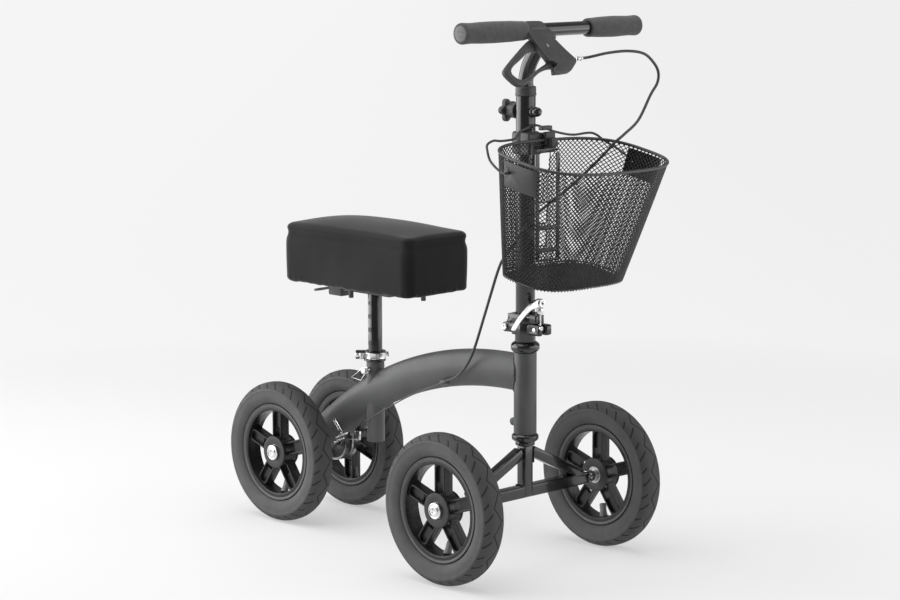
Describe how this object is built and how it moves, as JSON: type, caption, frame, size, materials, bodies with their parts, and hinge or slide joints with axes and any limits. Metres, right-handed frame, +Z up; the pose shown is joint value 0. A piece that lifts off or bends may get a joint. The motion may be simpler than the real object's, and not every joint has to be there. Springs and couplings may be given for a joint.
{
  "type": "knee walker",
  "caption": "Black and grey knee walker with spoked wheels, a steered front axle, a padded knee cushion, a folding column, a hand brake and a wire mesh basket.",
  "frame": {"origin": "on the floor, under the middle of the box round the walker", "axes": "+X forward, the way the walker rolls; +Y to the rider's left; +Z up"},
  "size_m": [0.8913, 0.4246, 0.9248],
  "materials": {
    "grey_paint": "satin",
    "black_paint": "gloss",
    "silver_metal": "polished",
    "black_plastic": "satin",
    "button_plastic": "satin",
    "tyre_rubber": "matte",
    "rim_plastic": "satin",
    "foam": "foam, matte",
    "cushion_cloth": "stretch cloth, matte",
    "basket_wire": "satin, expanded mesh"
  },
  "bodies": {
    "frame": {"arch_tube": "grey_paint", "head_tube": "grey_paint", "seat_tube": "grey_paint", "rear_axle_tube": "grey_paint", "upper_headset_cup": "black_paint", "lower_headset_cup": "black_paint", "axle_bolt_rear_left": "silver_metal", "axle_bolt_rear_right": "silver_metal", "brake_cover": "silver_metal", "brake_band": "black_plastic", "seat_clamp_collar": "black_paint", "brake_cable": "black_plastic"},
    "front_axle": {"steerer_tube": "black_paint", "front_axle_frame": "black_paint", "axle_bolt_front_left": "silver_metal", "axle_bolt_front_right": "silver_metal", "lower_clamp_block": "black_paint", "fold_hinge_pin": "silver_metal"},
    "column": {"upper_clamp_block": "black_paint", "column_tube": "black_paint", "column_collar": "black_plastic", "knob_nut": "silver_metal", "basket_clamp": "black_plastic"},
    "rod": {"quick_release_rod": "silver_metal"},
    "cam_lever": {"fold_lever": "silver_metal"},
    "knob": {"height_knob": "black_plastic"},
    "handlebars": {"stem_tube": "black_paint", "handlebar": "black_paint", "grip_left": "foam", "grip_right": "foam", "brake_housing": "black_plastic", "lever_pivot_pin": "silver_metal", "barrel_adjuster": "silver_metal"},
    "hand_lever": {"brake_lever": "black_plastic"},
    "basket": {"basket_shell": "basket_wire", "basket_frame": "basket_wire", "basket_plate_left": "basket_wire", "basket_plate_right": "basket_wire"},
    "button": {"release_button": "button_plastic"},
    "bail": {"basket_bail": "black_paint"},
    "rear_left_wheel": {"tyre_rear_left": "tyre_rubber", "rim_rear_left": "rim_plastic", "bearing_rear_left": "silver_metal", "brake_drum": "silver_metal"},
    "rear_right_wheel": {"tyre_rear_right": "tyre_rubber", "rim_rear_right": "rim_plastic", "bearing_rear_right": "silver_metal"},
    "front_left_wheel": {"tyre_front_left": "tyre_rubber", "rim_front_left": "rim_plastic", "bearing_front_left": "silver_metal"},
    "front_right_wheel": {"tyre_front_right": "tyre_rubber", "rim_front_right": "rim_plastic", "bearing_front_right": "silver_metal"},
    "seat": {"seat_post": "black_paint", "seat_base_plate": "black_plastic", "knee_cushion": "cushion_cloth"},
    "seat_lever": {"seat_clamp_lever": "silver_metal"},
    "lock_pin": {"seat_lock_pin": "silver_metal"},
    "pin_ring": {"lock_pin_ring": "silver_metal"},
    "cable_arm": {"brake_arm": "silver_metal"}
  },
  "joints": [
    {"name": "steering", "type": "hinge", "parent": "frame", "child": "front_axle", "pos_m": [0.2161, 0, 0.2266], "axis": [0, 0, 1], "range_deg": [-40, 40], "deforming": ["brake_cable"]},
    {"name": "column_fold", "type": "hinge", "parent": "front_axle", "child": "column", "pos_m": [0.1881, 0, 0.407], "axis": [0, -1, 0], "range_deg": [0, 48], "deforming": ["brake_cable"]},
    {"name": "release_rod_swing", "type": "hinge", "parent": "front_axle", "child": "rod", "pos_m": [0.2501, 0, 0.407], "axis": [0, 1, 0], "range_deg": [0, 163.2]},
    {"name": "release_lever", "type": "hinge", "parent": "rod", "child": "cam_lever", "pos_m": [0.2501, 0, 0.4514], "axis": [-1, 0, 0], "range_deg": [0, 70]},
    {"name": "height_knob_turn", "type": "hinge", "parent": "column", "child": "knob", "pos_m": [0.1796, 0, 0.768], "axis": [1, 0, 0], "range_deg": [0, 720]},
    {"name": "handlebar_height", "type": "slide", "parent": "column", "child": "handlebars", "axis": [0, 0, 1], "range_m": [0, 0.15], "deforming": ["brake_cable"]},
    {"name": "brake_lever_pull", "type": "hinge", "parent": "handlebars", "child": "hand_lever", "pos_m": [0.2873, -0.035, 0.87918], "axis": [-0.866, 0, -0.5], "range_deg": [0, 8], "stiffness_Nm_per_rad": 2, "deforming": ["brake_cable"]},
    {"name": "basket_lift", "type": "slide", "parent": "column", "child": "basket", "axis": [0, 0, 1], "range_m": [0, 0.01], "deforming": ["brake_cable"]},
    {"name": "release_button_press", "type": "slide", "parent": "basket", "child": "button", "axis": [0, 0, -1], "range_m": [0, 0.003], "stiffness_N_per_m": 400},
    {"name": "basket_handle", "type": "hinge", "parent": "basket", "child": "bail", "pos_m": [0.3221, 0, 0.684], "axis": [0, 1, 0], "range_deg": [0, 105]},
    {"name": "rear_left_wheel_turn", "type": "hinge", "parent": "frame", "child": "rear_left_wheel", "pos_m": [-0.3179, 0.0865, 0.127], "axis": [0, 1, 0], "continuous": true},
    {"name": "rear_right_wheel_turn", "type": "hinge", "parent": "frame", "child": "rear_right_wheel", "pos_m": [-0.3179, -0.0865, 0.127], "axis": [0, 1, 0], "continuous": true},
    {"name": "front_left_wheel_turn", "type": "hinge", "parent": "front_axle", "child": "front_left_wheel", "pos_m": [0.2151, 0.1895, 0.127], "axis": [0, 1, 0], "continuous": true},
    {"name": "front_right_wheel_turn", "type": "hinge", "parent": "front_axle", "child": "front_right_wheel", "pos_m": [0.2151, -0.1895, 0.127], "axis": [0, 1, 0], "continuous": true},
    {"name": "seat_height", "type": "slide", "parent": "frame", "child": "seat", "axis": [0, 0, -1], "range_m": [-0.072, 0.072]},
    {"name": "seat_clamp_lever_turn", "type": "hinge", "parent": "frame", "child": "seat_lever", "pos_m": [-0.17882, -0.02192, 0.314], "axis": [0, 0, 1], "range_deg": [0, 120]},
    {"name": "lock_pin_pull", "type": "slide", "parent": "frame", "child": "lock_pin", "axis": [0, -1, 0], "range_m": [0, 0.045]},
    {"name": "lock_pin_ring_swing", "type": "hinge", "parent": "lock_pin", "child": "pin_ring", "pos_m": [-0.1569, -0.0265, 0.288], "axis": [0, 1, 0], "range_deg": [-60, 60]},
    {"name": "brake_arm_pull", "type": "hinge", "parent": "frame", "child": "cable_arm", "pos_m": [-0.2949, 0.036, 0.139], "axis": [0, -1, 0], "range_deg": [0, 12], "stiffness_Nm_per_rad": 0.5}
  ],
  "couplings": [
    {"joint": "release_rod_swing", "follows": "column_fold", "ratio": 3.4},
    {"joint": "brake_arm_pull", "follows": "brake_lever_pull", "ratio": 1.5}
  ]
}
